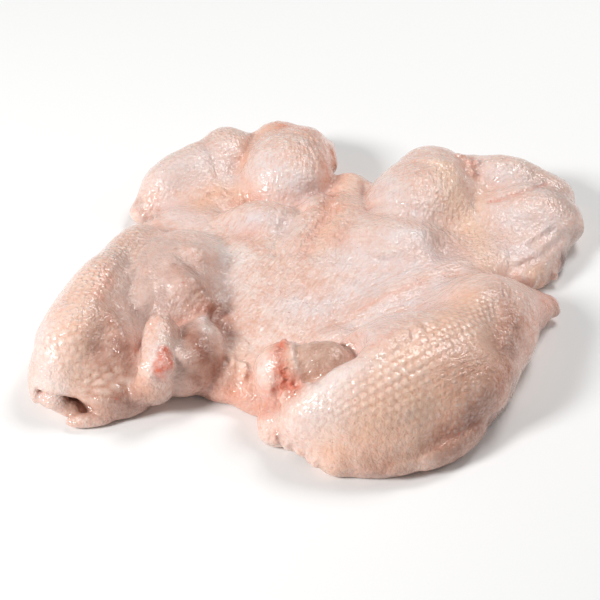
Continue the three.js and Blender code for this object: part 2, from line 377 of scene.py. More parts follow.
def left_breast():
    return [
        Mass("rear", (-126, -60, 17), (23, 32, 28), -20, SOFT),
        Mass("middle", (-117, -31, 17), (22, 43, 30), -20, SMOOTH),
        Mass("neck end", (-103, 7, 17), (19, 29, 22), -20, SMOOTH),
        Mass("belly side", (-106, -69, 11), (28, 30, 17), 0, SMOOTH),
        Mass("inner side", (-107, -61, 20), (15, 25, 19), 4, CLEAR),
        Mass("outer corner", (-138, -78, 12), (13, 13, 12), -40, SOFT),
        Mass("lower skin lip", (-111, -87, 4), (20, 11, 7), 0, CLEAR),
    ]


def left_leg():
    return [
        Mass("thigh", (-82, -10, 17), (28, 42, 26), -25, CLEAR),
        Mass("thigh, back of it", (-72, -27, 17), (19, 24, 23), -20, CLEAR),
        Mass("calf", (-66, -66, 16), (17, 20, 18.5), 0, CRISP),
        Mass("knee", (-76, -78, 19), (16, 12, 15), 0, CLEAR),
        Mass("hock", (-87, -89, 18), (12, 10, 12), 0, CRISP),
        Limb("shank", (-83, -66, 32), (-85, -86, 28), (10.5, 9.5), 1, CRISP),
    ]


def right_breast():
    return [
        Mass("rear", (10, -106, 17), (33, 21, 27), 22, SOFT),
        Mass("middle", (37, -91, 19), (52, 36, 33), 39, SMOOTH),
        Mass("outer side", (66, -82, 17), (38, 33, 30), 50, SMOOTH),
        Mass("neck end", (86, -43, 15), (38, 30, 25), 70, FLOWING),
        Mass("neck tip", (112, -20, 8), (16, 12, 12), 20, FLOWING),
        Mass("belly side", (38, -118, 8), (44, 22, 16), 14, SMOOTH),
        Mass("outer hem", (74, -94, 6), (31, 13, 11), 47, CLEAR),
        Mass("trough beside the back", (52, -24, 7), (61, 26, 20), 39, FLOWING),
        Mass("rear tip", (-19, -104, 8), (14, 14, 11), 30, SOFT),
    ]


def nest_of_right_leg():
    """Room that the shank takes from the breast beside it."""
    return Limb("nest", (-14, -94, 40), (10, -88, 42), (12, 12), 1, CLEAR)


def right_leg():
    return [
        Limb("shank", (-20, -87, 27), (4, -86, 27), (14, 14), 1, CRISP),
        Mass("hock", (-24, -89, 23), (11, 14, 15), 10, CRISP),
    ]


def hollows():
    return [
        Mass("opening under the left breast skin", (-131, -94, 7.5), (19, 11, 5), -22, CRISP, -14),
        Mass("opening under the right breast skin", (-6, -122, 3), (9, 7, 6), 20, CRISP),
    ]


# Fine forms on the masses, which the solid leaves out

RIGHT_FOREARM_CREASE = [(97, 55, 27), (103, 54, 29), (112, 56, 31), (121, 62, 31), (131, 71, 28)]


def strew(flesh, line, count, spread, size, seed):
    """Small lumps of fat or torn meat, strewn along a line and half sunk in the skin."""
    drawn = np.random.default_rng(seed)
    for number in range(count):
        place = (number + 0.5) / count * (len(line) - 1)
        start, end = np.array(line[int(place):int(place) + 2], float)
        at = start + (place % 1) * (end - start) + drawn.normal(0, spread, 3)
        at = settle(at[None], flesh, rounds=10)[0]
        half = size * drawn.uniform(0.7, 1.4, 3)
        flesh.add(Mass("crumb", at, half, drawn.uniform(0, 180), 0.6 * size))


def crumbs():
    """Where small lumps lie: how many, how far off the line, their half size, and the line."""
    return [
        ("web of the left wing", 26, 2.4, 0.9, (-74, 64, 24), (-62, 69, 23), (-50, 75, 20)),
        ("left wrist", 14, 1.6, 1.5, (-97, 62, 16), (-95, 54, 17), (-93, 47, 18)),
        ("torn meat on the right hock", 26, 1.3, 1.3, (-20, -80, 38), (-21, -88, 38), (-21, -95, 34),
         (-16, -102, 31)),
        ("fat below the right hock", 14, 1.8, 2.2, (-28, -101, 22), (-18, -105, 26), (-9, -111, 34)),
        ("torn skin at the end of the left shank", 16, 1.2, 1.3, (-91, -64, 36), (-83, -62, 41),
         (-74, -66, 38), (-74, -74, 38)),
        ("folded skin below the left joint", 7, 1.0, 1.8, (-92, -90, 30), (-87, -93, 30),
         (-82, -94, 29)),
        ("rear edge of the right breast's skin", 12, 1.6, 2.2, (-26, -113, 8), (-14, -123, 8),
         (-2, -131, 8)),
        ("fat at the tail", 8, 2.2, 2.4, (-52, -66, 17), (-44, -72, 17), (-38, -80, 14)),
        ("fat beside the right elbow", 8, 1.6, 2.0, (80, 92, 30), (88, 88, 31), (90, 78, 31)),
    ]


def skin_lumps():
    return [
        Mass("fat above the thigh's fold", (-70, -9, 38), (8, 5, 4), 20, SOFT),
        Limb("roll of fat in the thigh's fold, upper", (-80, -19, 39), (-71, -33, 37), (4, 5), 1, CLEAR),
        Limb("roll of fat in the thigh's fold, lower", (-71, -33, 37), (-58, -42, 31), (5.5, 4), 1, CLEAR),
        Mass("tendon at the end of the fold", (-61, -58, 26), (5, 9, 6), 14, SMOOTH),
        Mass("cut end of the left shank", (-80, -89, 31), (5.5, 5, 4.5), 0, CRISP),
        Mass("fat beside the right hock", (6, -58, 19), (9, 6, 5), 20, SOFT),
        Mass("fat of the tail, upper", (-44, -62, 16), (8, 7, 6), 0, SHARP),
        Mass("fat of the tail, lower", (-50, -76, 11), (8, 8, 7), 20, SHARP),
        Mass("fat beside the right elbow", (87, 86, 30), (5, 5, 3.5), 20, CRISP),
        Mass("fat below the right wing, inner", (111, 4, 12), (6, 4, 5), 15, SHARP),
        Mass("fat below the right wing, middle", (118, 5, 10), (5, 4, 5), 20, CRISP),
        Mass("fat below the right wing, outer", (125, 9, 7), (4, 3.5, 4.5), 0, CRISP),
        Mass("bone end at the right wrist", (132, 14, 6), (4, 3.5, 5), 0, CRISP),
        Mass("left tab of the breast skin", (-148, -84, 8), (3, 6, 6), 10, CRISP),
        Mass("flap below the left opening", (-119, -99.5, 3), (12, 4, 3.5), 6, CRISP),
        Mass("meat inside the left opening, outer", (-138, -89, 8), (8, 6, 5), -25, CRISP),
        Mass("meat inside the left opening, inner", (-131, -91, 4), (8, 5, 4), -25, CRISP),
        Mass("flap tip below the right opening", (0, -127, 4), (7, 3.5, 4), -35, CRISP),
        Mass("flap at the right belly", (13, -133, 4), (12, 4.5, 4.5), 10, CRISP),
        Mass("skin corner left of the right opening", (-25, -113, 5), (7, 5, 5), -30, CRISP),
        Mass("ragged skin at the right neck end", (124, -13, 9), (7, 4, 4.5), -20, CRISP),
        Mass("ragged tip at the right neck end", (128, -17, 6), (4, 3, 3), 30, CRISP),
        Mass("skin tab at the right wrist", (147, 46, 12), (5, 3.5, 4), 30, CRISP),
    ]


def folds():
    """Folds of the skin: how wide and deep, how high the lip to the left is, and the line."""
    return [
        ("between the left forearm and elbow", 4, 1.4, 0, (-69, 112, 29), (-62, 94, 29), (-59, 84, 25)),
        ("between the left elbow and drumette", 4, 1.2, 0, (-40, 124, 26), (-42, 108, 28),
         (-45, 92, 27), (-54, 82, 25)),
        ("left side of the neck stub", 3, 1.0, 0, (-1, 46, 28), (5, 55, 28), (9, 72, 22), (13, 85, 21)),
        ("right side of the neck stub", 4, 2.6, 0, (27, 87, 21), (26, 74, 21), (26, 60, 25),
         (28, 50, 27)),
        ("between the right drumette and shoulder", 3, 1.3, 0.4, (28, 52, 27), (37, 47, 32),
         (48, 42, 35), (56, 38, 34)),
        ("below the right shoulder", 2.5, 1.0, 0.4, (28, 3, 30), (33, 0, 29), (38, 1, 29)),
        ("left side of the right shoulder", 4, 0.9, 0, (17, 34, 30), (13, 18, 30), (9, 2, 29)),
        ("across the right drumette", 4, 0.8, 0.9, (55, 77, 39), (69, 72, 40), (78, 70, 38),
         (84, 78, 34)),
        ("outer side of the right drumette", 4, 0.9, 0, (84, 76, 36), (83, 66, 34), (87, 59, 28),
         (89, 52, 26)),
        ("between the right drumette and forearm", 4, 0.8, 0, (92, 77, 28), (90, 68, 26), (89, 58, 26),
         (90, 47, 26)),
        ("between the muscles of the right forearm", 2, 2.4, 0.8, *RIGHT_FOREARM_CREASE),
        ("at the right wrist, upper", 2, 0.8, 0.8, (116, 22, 21), (124, 29, 22), (132, 37, 22),
         (140, 45, 20)),
        ("at the right wrist, lower", 2.5, 1.2, 1.1, (111, 8, 18), (123, 16, 19), (131, 26, 18),
         (140, 37, 19)),
        ("inner side of the left breast, neck end", 4, 1.8, 1.6, (-94, 4, 40), (-99, -4, 41),
         (-104, -19, 43)),
        ("between the left breast and the thigh", 3, 0.8, 1.0, (-101, -35, 40), (-99, -26, 41),
         (-92, -15, 42)),
        ("inner side of the left breast, rear", 4, 1.6, 1.0, (-98, -80, 29), (-98, -70, 33),
         (-101, -62, 37), (-106, -54, 39)),
        ("left side of the left shank", 4, 2.6, 0, (-94, -57, 31), (-93, -70, 33), (-93, -86, 30)),
        ("right side of the left shank", 3, 2.0, 0, (-76, -64, 39), (-75, -76, 37), (-74, -87, 31)),
        ("right side of the thigh", 5, 1.4, 0, (-60, -24, 35), (-56, -38, 29), (-58, -58, 32)),
        ("torn skin on the left shank", 2.5, 1.0, 0.6, (-76, -64, 40), (-79, -70, 41), (-77, -78, 39)),
        ("round the right shank", 4, 2.2, 0, (-30, -74, 26), (-19, -64, 28), (-6, -66, 30),
         (8, -74, 32), (15, -84, 38)),
        ("outer side of the right breast", 2, 0.9, 0.5, (93, -83, 35), (99, -75, 30), (106, -66, 25)),
        ("round the left joint", 4, 2.6, 0, (-96, -84, 29), (-99, -92, 22), (-97, -99, 15),
         (-88, -103, 12)),
        ("below the left joint", 3, 1.2, 0.6, (-93, -93, 29), (-86, -97, 28), (-79, -96, 27)),
        ("lower side of the right breast", 3, 0.8, 0.6, (34, -131, 28), (39, -129, 29), (44, -126, 30)),
        ("across the far end of the left drumette", 2.5, 0.8, 0.5, (-38, 102, 33), (-26, 109, 37),
         (-11, 106, 38), (1, 100, 34)),
    ]


def skin_edges():
    """Edges where the skin ends and what lies to the right drops: how far, how deep, and the line."""
    return [
        ("right wrist", 8, 2.6, (122, 4, 9), (128, 11, 12), (133, 20, 14), (139, 30, 15), (145, 40, 16),
         (153, 47, 14)),
        ("over the right shank", 7, 1.8, (-5, -109, 38), (-11, -98, 38), (-14, -90, 40), (-14, -82, 40),
         (-12, -76, 34)),
        ("left wrist", 5, 0.8, (-103, 72, 10), (-99, 64, 16), (-95, 52, 18)),
        ("right edge of the left drumette", 5, 1.5, (-1, 138, 12), (9, 112, 20), (12, 98, 18)),
        ("outer hem of the right breast", 6, 1.8, (100, -90, 9), (86, -108, 9), (70, -123, 9),
         (52, -134, 7)),
        ("front hem of the right breast", 5, 1.6, (44, -137, 7), (30, -141, 9), (14, -141, 8)),
    ]


def soft_dents():
    """Broad valleys, or ridges where the depth is below zero: how wide, how deep, and the line."""
    return [
        ("between the left wing and shoulder", 5, 3.0, (-54, 56, 24), (-42, 57, 27), (-33, 58, 28),
         (-22, 57, 28), (-12, 48, 28)),
        ("between the left drumette and the neck", 4, 1.2, (-12, 48, 28), (-1, 50, 28), (5, 58, 28),
         (9, 72, 22)),
        ("right side of the left shoulder", 4, 1.6, (-14, 40, 30), (-20, 26, 29), (-24, 8, 29)),
        ("down the back from the neck", 5, 1.8, (6, 46, 29), (1, 32, 29), (-2, 19, 29), (-5, 9, 29)),
        ("hollow beside the right shoulder", 8, 2.5, (66, 12, 29), (68, 8, 29)),
        ("inner side of the left breast", 7, 2.4, (-101, -16, 42), (-106, -39, 42), (-108, -49, 42),
         (-99, -55, 37), (-97, -64, 34)),
        ("front of the left breast", 7, 1.6, (-117, -78, 34), (-108, -80, 32), (-109, -88, 25)),
        ("between the left breast and the shank", 6, 2.6, (-108, -70, 37), (-104, -79, 31),
         (-101, -90, 22)),
        ("right breast beside the shank", 5, 1.6, (-12, -114, 37), (0, -107, 43), (12, -98, 47)),
        ("below the roll of fat in the thigh's fold", 5, 2.0, (-80, -42, 40), (-70, -48, 38),
         (-66, -54, 36)),
        ("left side of the thigh", 6, 2.0, (-92, -30, 40), (-88, -42, 38), (-88, -52, 36)),
        ("calf, beside the shank", 4, 2.5, (-70, -68, 39), (-69, -76, 38)),
        ("torn meat of the right hock", 3, 0.8, (-21, -84, 39), (-19, -93, 37), (-19, -99, 33),
         (-12, -108, 34)),
        ("lower side of the right breast", 6, 1.0, (52, -128, 27), (58, -122, 30)),
        ("valley on the outer side of the right breast", 6, 1.8, (92, -47, 40), (89, -63, 39),
         (85, -82, 40)),
        ("ridge beyond that valley", 6, -1.4, (108, -39, 33), (103, -55, 33), (96, -75, 33)),
        ("ridge in the trough beside the back", 6, -1.0, (28, -30, 26), (50, -12, 26), (76, 4, 24)),
        ("trough beside the right breast", 5, 1.2, (20, -48, 28), (48, -30, 29), (74, -12, 27)),
    ]


class Tract:
    """A stretch of skin wrapped round a limb, measured along it and around it in millimetres."""

    def __init__(self, start, end, height, girth):
        self.start = np.array(start, float)
        run = np.array(end, float) - self.start
        self.run = run / np.linalg.norm(run)
        self.height = height
        self.girth = girth

    def along_around(self, points):
        dx, dy = points[:, 0] - self.start[0], points[:, 1] - self.start[1]
        along = dx * self.run[0] + dy * self.run[1]
        across = dx * self.run[1] - dy * self.run[0]
        up = points[:, 2] - self.height
        return along, self.girth * np.arctan2(across, np.clip(up, 2, None))


TABLE = 64
random = np.random.default_rng(11)
SCATTER = random.random((TABLE, TABLE, 2)) - 0.5
CLOUD = random.random((TABLE, TABLE, TABLE)).astype(np.float32)


def follicles(along, around, spacing, wander):
    """Domes of the feather follicles, on rows that lie over each other like scales.
    Gives 1 on a dome and 0 in the grooves, and how far down its own scale a point lies."""
    row_gap = spacing * math.sqrt(3) / 2
    row = np.round(around / row_gap).astype(int)
    nearest = np.full(len(along), 1e9)
    second = np.full(len(along), 1e9)
    down = np.zeros(len(along))
    for row_step in (-1, 0, 1):
        this_row = row + row_step
        shift = 0.5 * (this_row % 2)
        column = np.round(along / spacing - shift).astype(int)
        for column_step in (-1, 0, 1):
            this_column = column + column_step
            jitter = SCATTER[this_row % TABLE, this_column % TABLE] * wander * spacing
            across = around - this_row * row_gap - jitter[:, 1]
            off = np.hypot(along - (this_column + shift) * spacing - jitter[:, 0], across)
            down = np.where(off < nearest, across / row_gap, down)
            second = np.minimum(second, np.maximum(nearest, off))
            nearest = np.minimum(nearest, off)
    return np.clip((second - nearest) / (0.6 * spacing), 0, 1) ** 0.7, down


def cloud(points, size, seed):
    """Smooth random values from -1 to 1, which change over a distance of size."""
    place = points / size + 17.3 * (seed + 1)
    cell = np.floor(place).astype(int)
    share = place - cell
    share = share * share * (3 - 2 * share)
    value = 0
    for i in (0, 1):
        for j in (0, 1):
            for k in (0, 1):
                weight = 1
                for axis, side in enumerate((i, j, k)):
                    weight = weight * (share[:, axis] if side else 1 - share[:, axis])
                corner = (cell + (i, j, k)) % TABLE
                value = value + weight * CLOUD[tuple(corner.T)]
    return 2 * value - 1


def patch(points, at, half, turn=0):
    """1 inside a patch of the skin that is seen from above, falling softly to 0 outside it."""
    cos, sin = math.cos(math.radians(turn)), math.sin(math.radians(turn))
    dx, dy = points[:, 0] - at[0], points[:, 1] - at[1]
    u = (cos * dx + sin * dy) / half[0]
    v = (cos * dy - sin * dx) / half[1]
    return np.exp(-(u * u + v * v) ** 1.5)


def along_line(points, line, width):
    """1 on a line on the skin, falling softly to 0 beside it."""
    distance, _ = line.beside(*points.T)
    return np.exp(-(distance / width) ** 2)


# How much higher a dome is at its lower end, and the height from which it shows in full
SCALE_TILT = 0.3
FULL_DOME = 0.8

# Skin of each limb that has domes: the line under it, its height, and half its thickness
RIGHT_BREAST_TRACT = Tract((10, -106), (86, -43), 12, 33)
LEFT_BREAST_TRACT = Tract((-128, -66), (-100, 15), 12, 27)
LEFT_FOREARM_TRACT = Tract((-100, 74), (-60, 108), 8, 20)
RIGHT_DRUMETTE_TRACT = Tract((44, 30), (82, 105), 12, 28)
RIGHT_FOREARM_TRACT = Tract((88, 84), (140, 74), 8, 24)


def follicle_relief(points):
    """Height of the follicle domes at each point, and how much dome, groove and dotted skin it has."""
    height, domes, grooves, dotted = np.zeros((4, len(points)))
    # Spacing, how far a dome may stray, its height, and the patches of the tract that have them
    tracts = [
        (RIGHT_BREAST_TRACT, 4.4, 0.15, 1.05, [
            ((36, -113), (26, 13), 39), ((62, -86), (26, 12), 47), ((82, -56), (20, 12), 62),
        ]),
        (RIGHT_BREAST_TRACT, 4.2, 0.4, 0.5, [
            ((8, -124), (26, 10), 12), ((40, -124), (24, 10), 25), ((-8, -112), (14, 12), 30),
        ]),
        (LEFT_BREAST_TRACT, 3.8, 0.25, 0.75, [
            ((-104, -2), (11, 24), -20), ((-119, -36), (10, 24), -20),
        ]),
        (LEFT_BREAST_TRACT, 4.2, 0.5, 0.3, [
            ((-126, -62), (16, 14), -20),
        ]),
        (LEFT_BREAST_TRACT, 4.6, 0.5, 0.75, [
            ((-132, -78), (14, 9), -20), ((-112, -90), (20, 8), 6),
        ]),
        (RIGHT_DRUMETTE_TRACT, 4.6, 0.8, 0.35, [
            ((76, 50), (12, 22), -25),
        ]),
        (RIGHT_FOREARM_TRACT, 4.4, 0.6, 0.5, [
            ((116, 84), (22, 9), -12), ((128, 62), (14, 8), 0),
        ]),
        (LEFT_FOREARM_TRACT, 4.0, 0.7, 0.4, [
            ((-80, 94), (20, 14), 40), ((-57, 112), (14, 16), 0),
        ]),
    ]
    for tract, spacing, wander, strength, patches in tracts:
        dome, down = follicles(*tract.along_around(points), spacing, wander)
        mask = np.max([patch(points, *place) for place in patches], axis=0)
        # A dome is a little higher at its lower end, as a scale is, and a low one shows less
        height += strength * mask * (dome * (1 + SCALE_TILT * down) - 0.5)
        shown = mask * min(strength / FULL_DOME, 1)
        domes = np.maximum(domes, shown * dome)
        grooves = np.maximum(grooves, shown * (1 - dome) ** 2)
        dotted = np.maximum(dotted, shown)
    return height, domes, grooves, dotted


def wrinkle_relief(points):
    """Parallel wrinkles where the skin is gathered, and the slack skin's gentle waves."""
    height = 0.5 * cloud(points, 13, 1) + 0.3 * cloud(points, 6, 2) + 0.16 * cloud(points, 3, 3)
    # How far they reach, their spacing, their height, and the line that they lie along
    gathers = [
        ("down the back from the left of the neck", 11, 3.8, 0.5, (-2, 44, 30), (-12, 26, 29),
         (-18, 8, 29), (-22, -6, 29)),
        ("down the back from the neck stub", 9, 3.4, 0.3, (12, 58, 26), (10, 30, 27), (2, 5, 28)),
        ("right side of the left drumette", 9, 3.4, 0.35, (-8, 110, 40), (2, 84, 38), (2, 66, 34)),
        ("lower end of the right drumette", 12, 3.0, 0.25, (60, 52, 38), (70, 30, 34)),
        ("back beside the thigh's fold", 12, 2.8, 0.28, (-66, -42, 26), (-52, -34, 27), (-44, -20, 27)),
        ("outer side of the right breast", 9, 2.8, 0.2, (92, -40, 30), (100, -70, 22)),
    ]
    for _, reach, spacing, strength, *line in gathers:
        distance, left = Line(*line).beside(*points.T)
        wave = np.sin(2 * math.pi * (left / spacing + 0.35 * cloud(points, 9, 4)))
        height += strength * np.exp(-(distance / reach) ** 2) * wave
    # Short steps in the skin along the crest of the right breast, each with a rise to its left
    for x, y in [(24, -110), (31, -104), (38, -98), (45, -91), (52, -84), (59, -78)]:
        tick = Line((x - 2, y - 4, 50), (x + 1, y, 50), (x + 1, y + 4, 50))
        height -= 1.1 * along_line(points, tick, 1.3)
        height += 0.8 * patch(points, (x - 5, y + 2), (4, 6), 0)
    return height


def most(*parts):
    """The strongest of the parts at each point, kept between 0 and 1."""
    return np.clip(np.max(parts, axis=0), 0, 1)


def spot(points, at, half):
    """1 at a place on the skin, falling to 0 round it."""
    return np.exp(-(((points - at) / half) ** 2).sum(1) ** 1.5)


def right_of(points, line, reach):
    """1 to the right of a line on the skin, out to a reach, and 0 to its left."""
    distance, left = line.beside(*points.T)
    return np.exp(-(distance / reach) ** 4) * right_side(left)


def on(points, masses, name, reach):
    """1 where the skin lies on the named mass, falling to 0 away from it."""
    mass = next(piece for piece in masses if piece.name == name)
    return np.exp(-(np.clip(mass.distance(*points.T), 0, None) / reach) ** 2)


def zones():
    """Where each tone of the skin, and each painted shade and sheen, shows: how wide, how strongly, and
    along which line.
    """
    return {
        # Brown is partly the darker meat under thin skin, and partly painted shade on the sides, valleys,
        # creases and undersides that turn away from the light
        "brown_and_shade": [
            ("inner side of the left breast", 9, 0.9, (-110, -62, 40), (-104, -76, 34),
             (-100, -87, 23)),
            ("roll of fat in the thigh's fold", 7, 0.5, (-76, -26, 41), (-70, -36, 38), (-61, -42, 33)),
            ("front below the left breast", 7, 0.8, (-115, -95, 18), (-102, -98, 15), (-88, -94, 11)),
            ("calf, right side", 8, 1, (-68, -68, 34), (-61, -78, 29), (-64, -86, 20)),
            ("back of the thigh", 8, 0.9, (-61, -37, 38), (-57, -49, 34)),
            ("under the calf", 6, 0.9, (-63, -80, 8), (-53, -79, 18)),
            ("valley of the right breast", 9, 0.8, (92, -42, 39), (95, -64, 37), (90, -84, 37)),
            ("lower side of the right breast", 8, 0.6, (82, -108, 29), (74, -116, 20), (58, -130, 16)),
            ("beside the right shoulder", 8, 0.5, (65, 17, 29), (70, 11, 26)),
            ("hem of the right breast", 6, 0.6, (61, -133, 7), (74, -124, 10)),
            ("front hem of the right breast", 4, 0.7, (24, -141, 5), (44, -139, 5)),
            ("lower inner side of the left breast", 7, 0.8, (-114, -76, 33), (-110, -81, 30),
             (-108, -86, 25)),
            ("outer side of the right breast's crest", 10, 0.75, (65, -92, 48), (70, -96, 46),
             (76, -97, 43), (66, -107, 41)),
            ("crease between the left drumette and the neck", 3, 0.7, (-5, 68, 26), (-1, 57, 29),
             (3, 51, 28)),
        ],
        # Painted shade: a dark tone laid where the skin lies in shadow, beside and under the legs, in
        # hollows and valleys, and below the hems
        "painted_shade": [
            ("back beside the calf", 5, 0.6, (-50, -44, 24), (-47, -54, 21), (-50, -62, 19)),
            ("under the left joint", 5, 0.9, (-97, -99, 12), (-88, -102, 12), (-78, -100, 12)),
            ("between the fold and the calf", 4, 0.3, (-70, -56, 30), (-60, -60, 24), (-52, -58, 24)),
            ("underside in front of the left leg", 6, 0.8, (-100, -102, 8), (-88, -104, 8),
             (-76, -100, 6)),
            ("inner side of the left breast, middle", 5, 0.5, (-112, -78, 32), (-107, -86, 25),
             (-108, -92, 18)),
            ("outer hem of the right breast", 7, 0.5, (60, -134, 6), (74, -125, 8), (90, -108, 8),
             (100, -92, 8)),
            ("hollow below the roll of fat", 5, 0.6, (-85, -38, 35), (-81, -41, 33), (-78, -45, 30)),
            ("roll of fat in the thigh's fold", 5, 0.3, (-72, -36, 36), (-64, -42, 34), (-58, -48, 30)),
            ("front of the opening under the left breast", 5, 0.3, (-140, -88, 10), (-128, -94, 8),
             (-116, -97, 6)),
            ("tail's crease beside the calf", 3.5, 0.6, (-50, -70, 19), (-54, -79, 15), (-58, -84, 9)),
            ("inner side of the left breast, low beside the leg", 7, 0.8, (-104, -76, 34),
             (-99, -86, 24), (-104, -97, 13)),
            ("below the left leg", 6, 0.8, (-102, -98, 14), (-88, -94, 10), (-76, -92, 9)),
            ("right side of the calf", 6, 0.7, (-62, -72, 30), (-56, -78, 20), (-63, -80, 8)),
            ("valley between the thigh and the shank", 4, 0.7, (-72, -50, 35), (-62, -50, 33),
             (-58, -62, 28)),
            ("valley of the right breast", 7, 0.7, (96, -46, 38), (98, -62, 35), (94, -80, 34)),
            ("lower side of the right breast", 7, 0.4, (94, -92, 28), (84, -104, 26), (74, -114, 22)),
        ],
        # Grey is partly the muscle showing through thin skin, and partly painted shade in the valleys
        # beside the legs, in the pit by the tendon and on ends that turn from the light
        "grey_and_shade": [
            ("thigh", 13, 0.9, (-99, -15, 39), (-90, -25, 41), (-85, -36, 37), (-93, -45, 30)),
            ("thigh, upper end", 10, 0.7, (-93, 5, 38), (-76, -20, 43), (-68, -26, 39)),
            ("calf, beside the shank", 5, 0.8, (-73, -76, 33), (-72, -85, 31), (-73, -89, 25)),
            ("left forearm", 7, 0.35, (-87, 74, 26), (-81, 82, 30), (-72, 82, 29)),
            ("tip of the right forearm", 9, 0.9, (124, 78, 28), (136, 68, 28), (141, 53, 27)),
            ("right end of the left shoulder", 5, 0.4, (-27, 39, 32), (-22, 34, 29), (-19, 28, 26)),
            ("inner side of the left breast, neck end", 7, 0.7, (-98, 5, 38), (-93, -8, 42),
             (-88, -18, 42)),
            ("right breast, edge beside the shank", 6, 0.8, (-12, -114, 37), (0, -107, 43),
             (12, -98, 47)),
            ("outer edge of the left breast", 6, 0.5, (-148, -66, 30), (-150, -80, 24),
             (-149, -90, 16)),
            ("beside the tendon", 6, 1, (-68, -60, 36), (-64, -67, 34)),
        ],
        "orange": [
            ("right breast, lower outer side", 8, 0.4, (62, -126, 18), (80, -112, 20)),
            ("right breast beside the hock", 5, 0.5, (-14, -112, 34), (-8, -116, 34)),
            ("far end of the left drumette", 10, 0.9, (-20, 126, 33), (-11, 118, 35), (1, 116, 31),
             (7, 114, 22)),
            ("outer edge of the right breast", 9, 0.8, (122, -24, 17), (109, -59, 26), (98, -86, 29),
             (89, -101, 29)),
            ("right edge of the left drumette", 7, 0.9, (7, 110, 24), (5, 82, 23)),
            ("left edge of the neck", 5, 0.7, (6, 75, 21), (9, 48, 28)),
            ("ridge of the left breast", 5, 0.5, (-114, -30, 47), (-116, -49, 45)),
            ("edge of the tail", 7, 0.6, (-55, -85, 7), (-42, -89, 9), (-30, -105, 15)),
            ("right elbow", 5, 0.7, (87, 94, 29), (89, 78, 32)),
        ],
        "peach": [
            ("right breast, outer side", 13, 0.9, (66, -107, 41), (84, -86, 40), (97, -62, 36)),
            ("rim of the right shank", 6, 0.8, (-24, -84, 38), (-15, -84, 40), (-13, -92, 40)),
            ("left shank, right side", 5, 0.8, (-76, -80, 37), (-74, -88, 32)),
            ("right edge of the left drumette", 8, 0.9, (4, 118, 28), (9, 104, 22)),
            ("knob of skin below the left joint", 6, 0.9, (-93, -92, 29), (-92, -96, 24),
             (-87, -98, 20), (-82, -98, 19)),
            ("beside the torn meat of the right hock", 6, 0.8, (-18, -93, 39), (-17, -99, 34),
             (-16, -107, 31), (-11, -117, 36)),
            ("fat below the right wing", 5, 0.9, (118, 5, 13), (123, 9, 7)),
            ("right breast, lower", 19, 1.0, (26, -129, 31), (58, -117, 34), (76, -98, 43),
             (92, -90, 30)),
            ("right breast, crest", 13, 0.9, (44, -106, 49), (62, -84, 48), (78, -50, 38)),
            ("right breast, hem", 10, 0.8, (4, -136, 15), (38, -136, 17), (58, -127, 18)),
            ("far end of the left drumette", 10, 0.7, (-30, 122, 31), (-10, 118, 35)),
            ("left web", 7, 0.8, (-68, 60, 28), (-59, 71, 21), (-46, 72, 19)),
            ("neck", 9, 0.55, (18, 82, 23), (12, 56, 27), (7, 36, 28), (1, 13, 29)),
            ("tail", 8, 0.5, (-45, -71, 19), (-39, -84, 14)),
            ("left breast, crest", 13, 0.5, (-118, -43, 46), (-124, -73, 42), (-122, -88, 26),
             (-107, -92, 21)),
            ("left elbow fold", 5, 0.6, (-42, 110, 26), (-46, 90, 23)),
        ],
        "fat": [
            ("right drumette, side", 8, 0.9, (70, 73, 40), (77, 56, 35), (81, 43, 27), (87, 28, 24)),
            ("right web", 8, 0.7, (87, 28, 24), (94, 5, 23)),
            ("right elbow to web", 6, 0.5, (93, 72, 23), (88, 45, 26)),
        ],
        "lavender_and_sheen": [
            ("trough beside the right breast", 9, 0.9, (18, -50, 30), (44, -36, 29), (66, -21, 28)),
            ("right breast below the shank", 9, 0.8, (-8, -122, 34), (4, -128, 33), (16, -122, 40)),
            ("inner side of the right breast", 9, 0.6, (22, -84, 44), (42, -60, 40), (60, -34, 32)),
            ("trough, lower end", 10, 0.9, (-16, -34, 25), (-2, -38, 23), (13, -29, 24), (28, -22, 26)),
            ("left forearm", 12, 0.9, (-90, 81, 30), (-75, 86, 31), (-66, 95, 31)),
            ("left elbow", 9, 0.8, (-54, 102, 30), (-52, 87, 23)),
            ("left drumette", 11, 0.9, (-33, 79, 36), (-20, 68, 32), (-6, 67, 26)),
            ("left shoulder", 8, 0.9, (-44, 33, 29), (-29, 34, 31), (-19, 31, 28)),
            ("right shoulder", 9, 0.9, (36, 12, 34), (47, 13, 36), (58, 13, 33)),
            ("right flank", 14, 0.9, (11, 2, 28), (27, -3, 28), (44, 0, 30)),
            ("trough", 11, 0.9, (16, -23, 25), (43, -7, 27), (69, 6, 26)),
            ("right drumette", 10, 0.7, (38, 61, 34), (43, 45, 35), (54, 37, 33)),
            ("right forearm, upper", 10, 0.8, (100, 80, 32), (115, 75, 31), (130, 62, 30)),
            ("right forearm, lower", 12, 0.7, (105, 42, 28), (119, 38, 27), (129, 37, 24)),
            ("skin below the right forearm", 10, 0.8, (100, 16, 23), (115, 18, 21)),
            # Painted sheen: the pale lavender on the outer side of the left breast stands in for the
            # reflection of the white room
            ("outer side of the left breast", 7, 0.8, (-143, -70, 36), (-139, -85, 31)),
            ("left armpit", 9, 0.6, (-89, 65, 17), (-73, 40, 24)),
            ("right breast beside the shank", 8, 0.8, (-9, -118, 37), (4, -114, 43), (15, -108, 48)),
            ("back beside the thigh", 8, 0.5, (-52, -1, 29), (-47, -24, 27)),
        ],
    }


# A point lies in a crease where other skin is closer to it than this, and there the skin is darkened as
# painted shade
CREASE_REACH = 4


